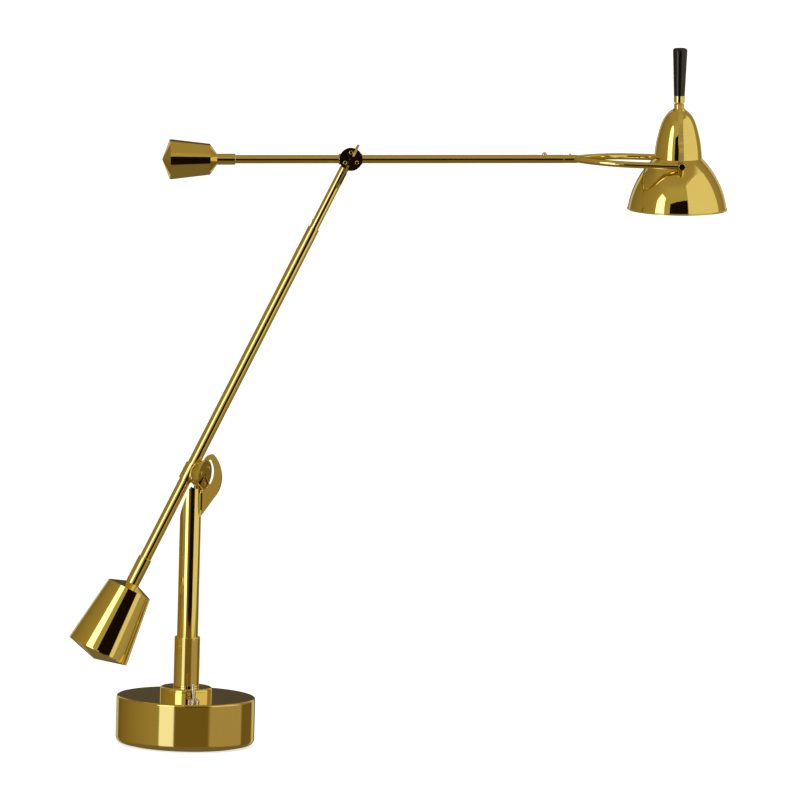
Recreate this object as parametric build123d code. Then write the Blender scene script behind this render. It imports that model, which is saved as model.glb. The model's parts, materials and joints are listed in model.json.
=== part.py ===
from build123d import *
import os
from math import atan, cos, radians, sin, sqrt

# Counterweight balance desk lamp, all brass. Millimetres, +Z up.
# The origin is the centre of the base's underside. +X runs from the stem towards the shade.

# ---- base
base_d = 151.6
base_h = 52.7
base_wall = 4.0
base_top_round = 2.2
base_foot_round = 6.0
felt_d = 130.0
felt_t = 1.2
floor_plate_t = 2.0
ballast_h = 22.0
ballast_bore_d = 44.0
tie_pcd = 104.0
tie_screw_d = 5.0
tie_head_d = 9.0
tie_head_h = 1.6
tie_boss_d = 13.0
collar_d = 57.0
collar_h = 10.5
collar_round = 3.0
gland_d = 12.0
gland_bore_d = 6.2
gland_flange_t = 3.0
gland_z = 20.0
gland_angle = 112.0

# ---- switch in the base's top
switch_x = 9.3
switch_inset = 19.0
switch_y = switch_inset - base_d / 2
switch_turn = 26.0
switch_body_w = 13.0
switch_body_h = 17.0
bushing_d = 6.4
bushing_bore_d = 4.6
bushing_h = 5.0
switch_nut_w = 12.6
switch_nut_t = 3.6
lever_len = 21.5
lever_root_d = 2.2
lever_tip_d = 4.2
lever_ball_d = 4.2
lever_lean = -12.0
lever_pin_d = 1.4
lever_pin_clear = 0.25

# ---- stem and its swivel
spindle_d = 12.0
bush_d = 17.0
sleeve_d = 28.2
sleeve_top_z = 118.0
stem_d = 23.2
stem_wall = 1.5
spindle_plug_h = 34.0
spindle_nut_w = 22.0
spindle_nut_t = 6.5
spindle_washer_t = 1.6

# ---- the two friction joints
joint_z = 298.9
joint_back = 3.0
axis_turn = 25.4
axis_drop = 5.5
scarf_at = 2.8
scarf_z = 281.7
scarf_slope = 21.7
head_r = 16.5
head_face = 19.5
head_split = 11.0
elbow_head_r = 12.7
elbow_face = 13.0
elbow_split = 8.4
washer_t = 0.9
cap_t = 1.3
cap_edge = 1.3
pivot_d = 5.0
pivot_head_d = 7.5
pivot_head_t = 1.8
pivot_window_d = 3.6
cap_screw_pcd = 20.4
elbow_cap_screw_pcd = 14.8
cap_screw_d = 2.0
cap_screw_head_d = 4.4
cap_screw_head_t = 1.5
cap_screw_len = 4.0
head_spigot_len = 72.0
saddle_wall = 1.4
saddle_len = 19.0
elbow_saddle_len = 25.4

# ---- crescent springs: a plate between two arcs that are not concentric
crescent_t = 2.4
crescent_outer_r = 34.1
crescent_outer_h = -13.8
crescent_outer_v = -1.25
crescent_inner_r = 24.0
crescent_inner_h = -12.9
crescent_inner_v = 4.5
crescent_top_angle = 48.0
crescent_tail_angle = -42.0
crescent_inner_top = 35.0
crescent_corner_angle = -48.0
crescent_hook_h = -1.4
crescent_hook_v = 16.9
crescent_hook_w = 4.8
crescent_flange_w = 6.0
crescent_flange_t = 1.8
crescent_root_top = -21.5
crescent_root_len = 19.0
crescent_tail = 10.5
elbow_crescent_scale = 0.75
elbow_root_top = -16.0
elbow_root_len = 14.0
finger_w = 1.6

# ---- lower arm
arm_lean = 25.74
arm_back = 6.67
lower_tube_d = 12.9
lower_tube_top = 299.2
stub_d = 10.2
stub_wall = 1.4
stub_insert = 40.0
stub_cut_len = 26.0
elbow_reach = 384.5
elbow_aside = 1.8
elbow_back = 8.0
lower_sleeve_d = 15.2
lower_sleeve_top = 105.2
lower_shoulder_top = 136.7
lower_shoulder = 143.2
lower_rim = 218.2
lower_end_rise = 10.5
lower_apex = lower_rim + lower_end_rise
lower_narrow_d = 50.4
lower_wide_d = 70.0
lower_lock = 269.7
stub_screw_at = 306.3

# ---- upper arm
upper_tilt = 1.5
upper_tube_d = 9.2
upper_wall = 1.0
upper_tube_end = 233.1
upper_sleeve_d = 12.1
upper_sleeve_end = 125.8
upper_shoulder_top = 146.0
upper_shoulder = 153.6
upper_rim = 196.1
upper_end_rise = 9.8
upper_apex = upper_rim + upper_end_rise
upper_narrow_d = 33.9
upper_wide_d = 44.0
stop_pin_at = 212.3
weight_cap_lip = 1.2
arm_screw_d = 2.4
arm_screw_head_d = 5.0
arm_screw_head_t = 2.6

# ---- fork
fork_socket_len = 13.6
fork_spigot_len = 30.0
fork_rod_d = 6.9
fork_half_gap = 38.5
fork_arc_r = 86.0
fork_len = 112.2
fork_droop = 2.47
fork_heading = 5.5
fork_eye_d = 9.2
fork_eye_t = 6.7
socket_pin_at = 7.4

# ---- shade
shade_wall = 1.0
rim_below = 51.4
rim_r = 54.2
rim_bead_r = 0.9
neck_above = 4.5
neck_r = 26.2
cap_top_above = 58.4
cap_top_r = 6.9
bell_mid_r = 45.6
bell_mid_below = 22.6
cap_low_r = 24.2
cap_low_above = 22.0
cap_mid_r = 20.6
cap_mid_above = 37.0
cap_high_r = 15.1
cap_high_above = 50.2
shade_lean = 0.45
ferrule_h = 16.4
ferrule_d = 10.6
spacer_h = 7.4
yoke_w = 5.2
yoke_t = 1.2
handle_h = 52.0
handle_root_d = 12.0
handle_tip_d = 16.1
rod_d = 4.0
holder_d = 27.0
holder_h = 30.0
holder_below_cap = 19.0
bulb_r = 19.0
bulb_neck_d = 14.0
bulb_clear_of_rim = 10.0
trunnion_d = 8.0
trunnion_screw_d = 3.0
trunnion_head_d = 8.4
trunnion_head_t = 3.0

# ---- fits
slip = 0.05
running = 0.03
gap = 0.3

# ---- places worked out from the sizes above
stem_axis_h = Vector(cos(radians(axis_turn)), -sin(radians(axis_turn)), 0)
arm_upright = Vector(sin(radians(arm_lean)), 0, cos(radians(arm_lean)))
arm_dir = arm_upright * cos(radians(arm_back)) + Vector(0, sin(radians(arm_back)), 0)
axis_dir = stem_axis_h * cos(radians(axis_drop)) + Vector(0, 0, -sin(radians(axis_drop)))
arm_across = (arm_dir - axis_dir * arm_dir.dot(axis_dir)).normalized()
arm_skew = 90 - arm_dir.get_angle(axis_dir)
joint_at = Vector(0, 0, joint_z) - stem_axis_h * joint_back
face_h = head_face * cos(radians(axis_drop)) - joint_back
face_v = -head_face * sin(radians(axis_drop))
front = Vector(0, -1, 0)
elbow_axis = (front - arm_dir * front.dot(arm_dir)).normalized()
arm_side = arm_dir.cross(elbow_axis)
elbow_foot = joint_at + arm_dir * elbow_reach
elbow_at = elbow_foot + arm_side * elbow_aside - elbow_axis * elbow_back
scarf_dir = stem_axis_h * cos(radians(scarf_slope)) + Vector(0, 0, -sin(radians(scarf_slope)))
upper_rise = Vector(cos(radians(upper_tilt)), 0, sin(radians(upper_tilt)))
upper_dir = (upper_rise - elbow_axis * upper_rise.dot(elbow_axis)).normalized()
fork_root = elbow_at + upper_dir * (upper_tube_end + fork_socket_len)
fork_pitch = radians(upper_tilt - fork_droop)
fork_level = Vector(cos(radians(fork_heading)), sin(radians(fork_heading)), 0)
fork_side = Vector(-sin(radians(fork_heading)), cos(radians(fork_heading)), 0)
fork_dir = fork_level * cos(fork_pitch) + Vector(0, 0, sin(fork_pitch))
shade_at = fork_root + fork_dir * fork_len

HEAD = Plane(origin=joint_at, x_dir=arm_across, z_dir=axis_dir)
SCARF = Plane(origin=stem_axis_h * scarf_at + Vector(0, 0, scarf_z), x_dir=(0, 0, 1), z_dir=scarf_dir)
ARM = Plane(origin=joint_at, x_dir=elbow_axis, z_dir=arm_dir)
ELBOW = Plane(origin=elbow_at, x_dir=upper_dir, z_dir=elbow_axis)
STUB = Plane(origin=elbow_foot, x_dir=elbow_axis, z_dir=arm_dir)
UPPER = Plane(origin=elbow_at, x_dir=elbow_axis, z_dir=upper_dir)
FORK = Plane(origin=fork_root, x_dir=fork_dir, z_dir=fork_dir.cross(fork_side))
SHADE = Plane(origin=shade_at, x_dir=fork_level, z_dir=(0, 0, 1)).rotated((0, -shade_lean, 0))
SWITCH = Plane(origin=(switch_x, switch_y, base_h)).rotated((0, 0, switch_turn))

base_inner_r = base_d / 2 - base_wall
under_top = base_h - base_wall
ballast_z = felt_t + floor_plate_t
boss_foot = ballast_z + ballast_h
collar_top = base_h + collar_h
stem_bore_r = stem_d / 2 - stem_wall
stem_foot = collar_top + gap


def rod(radius, low, high):
    """A round bar along Z."""
    return Pos(0, 0, low) * Cylinder(radius, high - low, align=(Align.CENTER, Align.CENTER, Align.MIN))


def tube(outer, inner, low, high):
    """A round tube along Z."""
    return rod(outer, low, high) - rod(inner, low - 1, high + 1)


def turned(*points):
    """A solid turned about Z from its outline of (radius, height) points."""
    outline = Polyline(*[(r, 0, z) for r, z in points], close=True)
    return revolve(make_face(outline), Axis.Z)


def hexagon(width, low, high):
    """A six-sided nut blank along Z, measured across its flats."""
    blank = extrude(RegularPolygon(width / sqrt(3), 6), high - low)
    return Pos(0, 0, low) * blank


def half_space(low, size=400.0):
    """A block that fills everything below the height low."""
    return Pos(0, 0, low) * Box(size, size, size, align=(Align.CENTER, Align.CENTER, Align.MAX))


def around(count, radius, solid, start=90.0):
    """Copies of a solid, evenly spaced on a circle about Z."""
    step = 360.0 / count
    return [Rot(0, 0, start + i * step) * Pos(radius, 0, 0) * solid for i in range(count)]


def in_frame(frame, solid):
    """A solid drawn in a joint's or an arm's own frame, set in its place on the lamp."""
    return frame.location * solid


def slotted_screw(shank_d, shank_len, screw_head_d, head_t):
    """A round-headed screw along Z: its seat is at zero and its head stands above it."""
    head = rod(screw_head_d / 2, 0, head_t)
    head = fillet(head.edges().sort_by(Axis.Z)[-1], head_t * 0.55)
    slot = Pos(0, 0, head_t) * Box(screw_head_d, screw_head_d * 0.16, head_t * 0.8)
    return rod(shank_d / 2, -shank_len, 0) + (head - slot)


def write(name, *solids):
    """One node: a single solid, or a group of like solids."""
    shape = solids[0] if len(solids) == 1 else Compound(children=list(solids))
    export_step(shape, f"parts/{name}.step")


# ------------------------------------------------------------------ base

def tie_places():
    return [Rot(0, 0, 90 + i * 120) * Pos(tie_pcd / 2, 0, 0) for i in range(3)]


def base_shell():
    """The spun brass drum, open below, with three bosses that the ballast is drawn up against."""
    shell = rod(base_d / 2, felt_t, base_h)
    shell = fillet(shell.edges().sort_by(Axis.Z)[-1], base_top_round)
    shell = fillet(shell.edges().sort_by(Axis.Z)[0], base_foot_round)
    shell -= rod(base_inner_r, felt_t - 1, under_top)
    shell -= rod(base_d / 2 - base_foot_round + slip, felt_t - 1, ballast_z)
    for place in tie_places():
        shell += place * rod(tie_boss_d / 2, boss_foot, under_top)
        shell -= place * rod(tie_screw_d / 2 + slip, boss_foot - 1, under_top - 3)
    shell -= rod(bush_d / 2 + slip, under_top - 1, base_h + 1)
    shell -= in_frame(SWITCH, rod(bushing_d / 2 + slip, -base_wall - 1, 1))
    return shell - gland_place() * rod(gland_d / 2 + slip, -base_wall * 3, base_wall * 2)


def gland_place():
    """The cord's way out, square to the drum's wall at the back; local Z points outwards."""
    return Rot(0, 0, gland_angle) * Pos(base_d / 2, 0, gland_z) * Rot(0, 90, 0)


def base_ballast():
    """The cast iron ring that keeps the lamp standing, with a flat for the cord's way out."""
    ballast = tube(base_inner_r - gap, ballast_bore_d / 2, ballast_z, boss_foot)
    notch_depth = 26.0
    ballast -= gland_place() * rod(gland_d, -base_wall - notch_depth, base_wall)
    for place in tie_places():
        ballast -= place * rod(tie_screw_d / 2 + slip, 0, base_h)
    return ballast


def base_floor_plate():
    """The steel plate that closes the drum from below."""
    plate = rod(base_d / 2 - base_foot_round, felt_t, ballast_z)
    for place in tie_places():
        plate -= place * rod(tie_screw_d / 2 + slip, 0, base_h)
        plate -= place * rod(tie_head_d / 2 + slip, 0, felt_t + tie_head_h)
    return plate


def tie_screws():
    """Three screws from the floor plate, through the ballast, into the shell's bosses."""
    shank_top = boss_foot + 14
    screw = rod(tie_head_d / 2, felt_t + slip, felt_t + tie_head_h)
    screw += rod(tie_screw_d / 2, felt_t + tie_head_h, shank_top)
    return [place * screw for place in tie_places()]


def base_collar():
    """The turned boss on the drum's top that the stem turns on."""
    collar = rod(collar_d / 2, base_h, collar_top)
    collar = fillet(collar.edges().sort_by(Axis.Z)[-1], collar_round)
    return collar - rod(bush_d / 2 + slip, base_h - 1, collar_top + 1)


def swivel_bush():
    """The bronze bush that lines the collar and the drum's top."""
    return tube(bush_d / 2, spindle_d / 2 + running, under_top, collar_top)


def cord_gland():
    """The moulded bush where the mains cord leaves the drum."""
    barrel = rod(gland_d / 2, -base_wall - 4, gland_flange_t / 2)
    flange = rod(gland_d / 2 + 2.5, 0.6, gland_flange_t + 0.6)
    flange = fillet(flange.edges().sort_by(Axis.Z)[-1], 1.2)
    gland = barrel + flange - rod(gland_bore_d / 2, -20, 20)
    return gland_place() * gland - rod(base_d / 2 + slip, gland_z - 30, gland_z + 30) + gland_throat()


def gland_throat():
    """The gland's barrel inside the wall's hole."""
    throat = tube(gland_d / 2, gland_bore_d / 2, -base_wall - 4, gland_flange_t)
    return gland_place() * throat


# ---------------------------------------------------------------- switch

def switch_body():
    """The toggle switch's moulded block under the drum's top, with two terminals."""
    block = Box(switch_body_w, switch_body_w, switch_body_h, align=(Align.CENTER, Align.CENTER, Align.MAX))
    block = Pos(0, 0, -base_wall - slip) * block
    block -= rod(lever_ball_d / 2 + gap, -base_wall - 6, 0)
    for side in (-1, 1):
        block += Pos(side * switch_body_w / 4, 0, -base_wall - switch_body_h - 2) * Box(2.4, 0.8, 5)
    return in_frame(SWITCH, block)


def switch_bushing():
    """The switch's threaded neck, flared inside so that the lever can lean."""
    neck = rod(bushing_d / 2, -base_wall, bushing_h)
    neck -= rod(bushing_bore_d / 2, -base_wall - 1, bushing_h + 1)
    flare = turned((0, 0), (bushing_bore_d / 2, 0), (bushing_d / 2 - 0.4, bushing_h), (0, bushing_h))
    return in_frame(SWITCH, neck - flare)


def switch_nut():
    """The round knurled nut that clamps the switch to the drum's top."""
    nut = rod(switch_nut_w / 2, 0, switch_nut_t)
    nut = chamfer(nut.edges().sort_by(Axis.Z)[-1], 0.5)
    return in_frame(SWITCH, nut - rod(bushing_d / 2 + slip, -1, switch_nut_t + 1))


def switch_lever():
    """The switch's bat lever on its cross pin, at rest thrown away from the front."""
    bat = turned((0, 0), (lever_root_d / 2, 0), (lever_tip_d / 2, lever_len - 1), (lever_tip_d / 2 - 0.7, lever_len),
                 (0, lever_len))
    pin = Rot(0, 90, 0) * Cylinder(lever_pin_d / 2, bushing_bore_d - 2 * lever_pin_clear)
    lever = bat + Sphere(lever_ball_d / 2) + pin
    return in_frame(SWITCH, Rot(lever_lean, 0, 0) * lever)


# ------------------------------------------------------------------ stem

def stem_spindle():
    """The steel spindle under the stem: a plug in the tube, then a shaft through the bush."""
    plug = rod(stem_bore_r - slip, stem_foot, stem_foot + spindle_plug_h)
    nut_seat = under_top - spindle_washer_t
    return plug + rod(spindle_d / 2, nut_seat - spindle_nut_t - 3, stem_foot)


def spindle_washer():
    """The spring washer that gives the swivel its drag."""
    return tube(spindle_nut_w / 2, spindle_d / 2 + slip, under_top - spindle_washer_t, under_top - slip)


def spindle_nut():
    """The nut that holds the stem down."""
    top = under_top - spindle_washer_t - slip
    nut = hexagon(spindle_nut_w, top - spindle_nut_t, top)
    return nut - rod(spindle_d / 2 + slip, 0, base_h)


def stem_sleeve():
    """The turned sleeve round the foot of the stem."""
    sleeve = tube(sleeve_d / 2, stem_d / 2 + slip, stem_foot, sleeve_top_z)
    outer_top = sleeve.edges().filter_by(GeomType.CIRCLE).group_by(Axis.Z)[-1].sort_by(SortBy.RADIUS)[-1]
    return fillet(outer_top, 0.9)


def scarf():
    """The slanting cut at the stem's top, so that the arm's lower end can swing past."""
    return in_frame(SCARF, half_space(0))


def half_ball(radius, face, grow):
    """A joint's ball, ended by its flat face, in the joint's own frame."""
    return (Pos(0, 0, face) * Sphere(radius + grow)) & half_space(face + grow)


def head_ball(grow=0.0):
    return in_frame(HEAD, half_ball(head_r, head_face, grow))


def stem_tube():
    """The stem, cut away aslant at its top so that the arm can swing past."""
    top = joint_z - head_r
    stem = tube(stem_d / 2, stem_bore_r, stem_foot, top)
    return stem - scarf() - head_ball(slip)


def housing(radius, face, split, screw_pcd):
    """The fixed half of a joint: a slice of a ball, drawn along its axis."""
    slab = rod(radius + 1, split, face)
    ball = (Pos(0, 0, face) * Sphere(radius)) & slab
    ball -= rod(radius - cap_edge, face - cap_t, face + 1)
    ball -= rod(pivot_d / 2 + running, 0, face + 1)
    ball -= rod(pivot_head_d / 2 + gap, face - cap_t - pivot_head_t - gap, face + 1)
    for hole in around(3, screw_pcd / 2, rod(cap_screw_d / 2 + slip, face - cap_t - cap_screw_len, face)):
        ball -= hole
    return ball


def stem_head():
    """The lower joint's fixed half, with the spigot that goes down the stem's bore."""
    spigot = rod(stem_bore_r - slip, joint_z - head_spigot_len, joint_z + face_v) - scarf()
    reach = in_frame(HEAD, rod(head_r, head_split, head_face - cap_t - pivot_head_t - gap))
    spigot = (spigot & reach) + (spigot - in_frame(HEAD, rod(head_r, 0, head_face + head_spigot_len)))
    body = in_frame(HEAD, housing(head_r, head_face, head_split, cap_screw_pcd))
    holes = in_frame(HEAD, rod(pivot_d / 2 + running, 0, head_face + 1))
    return body + (spigot - head_ball() - holes)


def joint_cap(radius, face, screw_pcd):
    """The disc let into a joint's flat face, with a small window on the pivot."""
    cap = rod(radius - cap_edge - slip, face - cap_t + slip, face)
    cap -= rod(pivot_window_d / 2, 0, face + 1)
    for hole in around(3, screw_pcd / 2, rod(cap_screw_d / 2 + slip, 0, face + 1)):
        cap -= hole
    return cap


def joint_cap_screws(face, split, screw_pcd):
    """The three round-headed screws of a joint's cap."""
    depth = min(cap_t + cap_screw_len, face - split) - 2 * gap
    screw = slotted_screw(cap_screw_d, depth, cap_screw_head_d, cap_screw_head_t)
    return around(3, screw_pcd / 2, Pos(0, 0, face) * Rot(0, 0, 35) * screw)


def joint_pivot(face, split, depth):
    """The shouldered pivot: screwed into the turning half, it runs in the fixed half."""
    seat = face - cap_t - pivot_head_t
    head = rod(pivot_head_d / 2, seat, seat + pivot_head_t - gap / 2)
    return head + rod(pivot_d / 2, split - washer_t - 2 * slip - depth, seat)


def joint_washer(radius, split):
    """The fibre friction washer between the two halves of a joint."""
    return tube(radius, pivot_d / 2 + slip, split - washer_t - slip, split - slip)


def hub(radius, face, split, tube_r, length, pivot_depth, skew):
    """The turning half of a joint: the rest of the ball, with a saddle that holds the arm's tube."""
    flat = split - washer_t - 2 * slip
    ball = (Pos(0, 0, face) * Sphere(radius)) & rod(radius + 1, -tube_r, flat)
    saddle = Rot(0, 90 - skew, 0) * rod(tube_r + saddle_wall, -length / 2, length / 2)
    saddle &= rod(radius * 3, -radius, flat)
    bore = Rot(0, 90 - skew, 0) * rod(tube_r + slip, -radius * 2, radius * 2)
    return ball + saddle - bore - rod(pivot_d / 2 + slip, flat - pivot_depth, flat + 1)


def on_circle(centre_h, centre_v, radius, angle):
    return (centre_h + radius * cos(radians(angle)), centre_v + radius * sin(radians(angle)))


def crescent(scale, centre_h, centre_v, root_r, root_top, root_len):
    """A crescent plate in the plane of X and Z; the centre given is that of the joint's face."""
    inner_h = centre_h + crescent_inner_h * scale
    inner_v = centre_v + crescent_inner_v * scale
    outer_h = centre_h + crescent_outer_h * scale
    outer_v = centre_v + crescent_outer_v * scale
    inner_r = crescent_inner_r * scale
    outer_r = crescent_outer_r * scale
    corner = on_circle(inner_h, inner_v, inner_r, crescent_corner_angle)
    inner_mid = on_circle(inner_h, inner_v, inner_r, 0)
    inner_top = on_circle(inner_h, inner_v, inner_r, crescent_inner_top)
    hook = (centre_h + crescent_hook_h * scale, centre_v + crescent_hook_v * scale)
    hook_heel = (hook[0] + crescent_hook_w * scale, hook[1] - 0.6 * scale)
    top = on_circle(outer_h, outer_v, outer_r, crescent_top_angle)
    brow = ((top[0] + hook[0]) / 2 - scale, (top[1] + hook[1]) / 2 + 1.5 * scale)
    outer_mid = on_circle(outer_h, outer_v, outer_r, 0)
    tail = on_circle(outer_h, outer_v, outer_r, crescent_tail_angle)
    foot = (root_r, root_top - root_len - crescent_tail * scale)
    wire = [Line((root_r, root_top), corner), ThreePointArc(corner, inner_mid, inner_top),
            Line(inner_top, hook_heel), Line(hook_heel, hook), ThreePointArc(hook, brow, top),
            ThreePointArc(top, outer_mid, tail), Line(tail, foot), Line(foot, (root_r, root_top))]
    plate = extrude(Plane.XZ * make_face(wire), crescent_t / 2, both=True)
    flange = Pos(root_r, 0, root_top - root_len) * Box(crescent_flange_t + 2, crescent_flange_w, root_len,
                                                       align=(Align.MIN, Align.CENTER, Align.MIN))
    return plate + flange + finger(corner, (centre_h, centre_v), scale)


def finger(root, aim, scale):
    """The small tongue on a crescent's inner edge that reaches towards the pivot."""
    start = Vector(root[0] + 1.5 * scale, root[1] + 2.2 * scale)
    end = Vector(*aim)
    way = (end - start).normalized()
    side = Vector(-way.Y, way.X) * finger_w / 2
    stop = end - way * (cap_screw_head_t + gap)
    foot = start - way * 3 * scale
    points = [foot + side * 2.4, stop + side * 0.6, stop - side * 0.6, foot - side * 2.4]
    outline = Polyline(*[(point.X, point.Y) for point in points], close=True)
    return extrude(Plane.XZ * make_face(outline), finger_w / 2, both=True)


def stem_crescent():
    """The lower joint's crescent, on the side of the stem that its face looks to."""
    plate = crescent(1.0, face_h, face_v, stem_d / 2 - 2, crescent_root_top, crescent_root_len)
    plate = Pos(0, 0, joint_z) * Rot(0, 0, -axis_turn) * plate
    return plate - rod(stem_d / 2 + slip, 0, joint_z + 100) - head_ball(gap)


# ------------------------------------------------------------- lower arm

def lower_arm_tube():
    """The lower arm's main tube, from inside the weight's sleeve to the elbow's stub."""
    foot = -lower_shoulder - 20
    arm = rod(lower_tube_d / 2, foot, lower_tube_top)
    arm -= rod(stub_d / 2 + running, foot - 1, lower_tube_top + 1)
    return in_frame(ARM, arm - lock_place(lower_lock, lower_tube_d) * rod(arm_screw_d / 2 + slip, -9, 2))


def lock_place(along, diameter):
    """A small screw's seat on the side of an arm: local Z points out, to the left and front."""
    return Pos(0, 0, along) * Rot(0, 0, -62) * Pos(diameter / 2, 0, 0) * Rot(0, 90, 0)


def lower_lock_screw():
    """The screw whose tip runs in the stub's groove."""
    screw = slotted_screw(arm_screw_d, (lower_tube_d - stub_d) / 2 + 0.5, 3.2, 0.8)
    return in_frame(ARM, lock_place(lower_lock, lower_tube_d) * screw)


def weight_sleeve(sleeve_d_out, tube_r, start, shoulder_top):
    """The sleeve that carries a counterweight on its arm, pointing down from the joint."""
    sleeve = rod(sleeve_d_out / 2, -shoulder_top, -start)
    sleeve = fillet(sleeve.edges().sort_by(Axis.Z)[-1], 0.7)
    return sleeve - rod(tube_r + slip, -shoulder_top - 1, 0)


def weight_body(narrow, wide, sleeve_r, tube_r, ends):
    """A solid turned counterweight: a short cone to its sleeve, then the long taper."""
    shoulder_top, shoulder, rim, socket = ends
    body = turned((0, -rim), (wide / 2, -rim), (narrow / 2, -shoulder), (sleeve_r, -shoulder_top),
                  (0, -shoulder_top))
    return body - rod(tube_r + slip, -shoulder - socket - gap, 0) - rod(wide / 2 * 0.35 + slip, -rim - 1, -rim + 7)


def weight_end(wide, rim, apex):
    """The shallow cone screwed into a counterweight's wide end."""
    lip = wide / 2 - 0.15
    end = turned((0, -rim), (lip, -rim), (lip, -rim - weight_cap_lip), (0, -apex))
    return end + rod(wide / 2 * 0.35, -rim, -rim + 6.5)


def lower_hub():
    return in_frame(HEAD, hub(head_r, head_face, head_split, lower_tube_d / 2, saddle_len, 3.0, arm_skew))


# ----------------------------------------------------------------- elbow

def elbow_scarf():
    """All the space that the elbow's turning half sweeps through."""
    return in_frame(ELBOW, half_space(elbow_split))


def elbow_ball(grow=0.0):
    return in_frame(ELBOW, half_ball(elbow_head_r, elbow_face, grow))


def elbow_stub():
    """The tube that turns in the lower arm's end and carries the elbow."""
    foot = lower_tube_top - stub_insert - elbow_reach
    top = -elbow_head_r + 1.5
    stub = tube(stub_d / 2, stub_d / 2 - stub_wall, foot, top)
    groove_z = lower_lock - elbow_reach
    groove = tube(stub_d, stub_d / 2 - 0.7, groove_z - arm_screw_d / 2 - 0.2, groove_z + arm_screw_d / 2 + 0.2)
    stub = stub - groove - lock_place(stub_screw_at - elbow_reach, stub_d) * rod(arm_screw_d / 2 + slip, -1.6, 2)
    clear = in_frame(ELBOW, rod(elbow_head_r + stub_cut_len, -2 * stub_cut_len, elbow_split))
    return in_frame(STUB, stub) - clear - elbow_ball(slip)


def stub_screw():
    """The small screw that holds the elbow's spigot in the stub."""
    screw = slotted_screw(arm_screw_d, stub_wall - 0.1, 3.2, 0.8)
    return in_frame(STUB, lock_place(stub_screw_at - elbow_reach, stub_d) * screw)


def elbow_head():
    """The elbow's fixed half, with the spigot that goes down the stub's bore."""
    spigot = rod(stub_d / 2 - stub_wall - slip, stub_screw_at - elbow_reach - 6, -elbow_head_r + 2)
    clear = in_frame(ELBOW, rod(elbow_head_r + 26, -60, elbow_split))
    spigot = in_frame(STUB, spigot) - clear
    return in_frame(ELBOW, housing(elbow_head_r, elbow_face, elbow_split, elbow_cap_screw_pcd)) + (
        spigot - in_frame(ELBOW, Pos(0, 0, elbow_face) * Sphere(elbow_head_r - 2.2)))


def elbow_crescent():
    """The elbow's crescent, the lower one's shape made smaller."""
    plate = crescent(elbow_crescent_scale, elbow_face - elbow_back, 0, stub_d / 2 - 2, elbow_root_top,
                     elbow_root_len)
    plate = Pos(0, elbow_aside, 0) * plate
    return in_frame(STUB, plate - rod(stub_d / 2 + slip, -80, 60)) - elbow_ball(gap)


def elbow_hub():
    return in_frame(ELBOW, hub(elbow_head_r, elbow_face, elbow_split, upper_tube_d / 2, elbow_saddle_len, 3.0, 0))


# ------------------------------------------------------------- upper arm

def upper_arm_tube():
    """The upper arm, one tube from inside the small weight to the fork's socket."""
    arm = tube(upper_tube_d / 2, upper_tube_d / 2 - upper_wall, -upper_shoulder - 14, upper_tube_end)
    return in_frame(UPPER, arm - pin_place(stop_pin_at) * rod(arm_screw_d / 2 + slip, -4, 2))


def pin_place(along):
    """A pin's seat on top of the upper arm; local Z points up."""
    return Pos(0, 0, along) * Rot(90, 0, 0) * Pos(0, 0, upper_tube_d / 2)


def fork_stop_pin():
    """The domed pin whose tip runs in the fork's groove."""
    pin = rod(arm_screw_d / 2, -1.4, 0.2) + rod(arm_screw_head_d / 2, 0.2, 0.2 + arm_screw_head_t)
    pin = fillet(pin.edges().sort_by(Axis.Z)[-1], 1.9)
    saddle = Rot(90, 0, 0) * rod(upper_tube_d / 2 + slip, -9, 9)
    seat = rod(arm_screw_head_d / 2, -1, 0.2) - Pos(0, 0, -upper_tube_d / 2) * saddle
    return in_frame(UPPER, pin_place(stop_pin_at) * (pin + seat))


# ------------------------------------------------------------------ fork

def fork_socket():
    """The fork's root: a collar as wide as the tube, and a spigot that turns inside it."""
    start = upper_tube_end + slip
    collar = rod(upper_tube_d / 2 - 0.1, start, start + fork_socket_len)
    collar = fillet(collar.edges().sort_by(Axis.Z)[0], 0.4)
    spigot = rod(upper_tube_d / 2 - upper_wall - running, upper_tube_end - fork_spigot_len, start)
    groove = tube(upper_tube_d, 2.6, stop_pin_at - arm_screw_d / 2 - 0.2, stop_pin_at + arm_screw_d / 2 + 0.2)
    hole = pin_place(upper_tube_end + socket_pin_at) * rod(1.2 + slip, -3, 2)
    return in_frame(UPPER, collar + spigot - groove - hole) - fork_rods(slip)


def fork_socket_pin():
    """The small pin that locks the hoop in its socket."""
    pin = rod(1.2, -2.6, 1.4)
    pin = fillet(pin.edges().sort_by(Axis.Z)[-1], 0.5)
    return in_frame(UPPER, pin_place(upper_tube_end + socket_pin_at) * pin)


def fork_rods(grow=0.0):
    """Both bent rods of the fork, from the root to the eyes."""
    start_y = 1.5
    rise = fork_half_gap - start_y
    run = sqrt(fork_arc_r ** 2 - (fork_arc_r - rise) ** 2)
    half_turn = atan(run / (fork_arc_r - rise)) / 2
    centre_y = fork_half_gap - fork_arc_r
    middle = (run - fork_arc_r * sin(half_turn), centre_y + fork_arc_r * cos(half_turn))
    bend = ThreePointArc((0, start_y), middle, (run, fork_half_gap))
    leg = Line((run, fork_half_gap), (fork_len - fork_eye_d / 2 + 1, fork_half_gap))
    path = Wire([bend, leg])
    section = Plane(origin=path @ 0, z_dir=path % 0) * Circle(fork_rod_d / 2 + grow)
    arm = sweep(section, path=path)
    nose = Sphere(fork_rod_d / 2 + 1.1 + grow)
    return in_frame(FORK, arm + mirror(arm, Plane.XZ) + nose)


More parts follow.
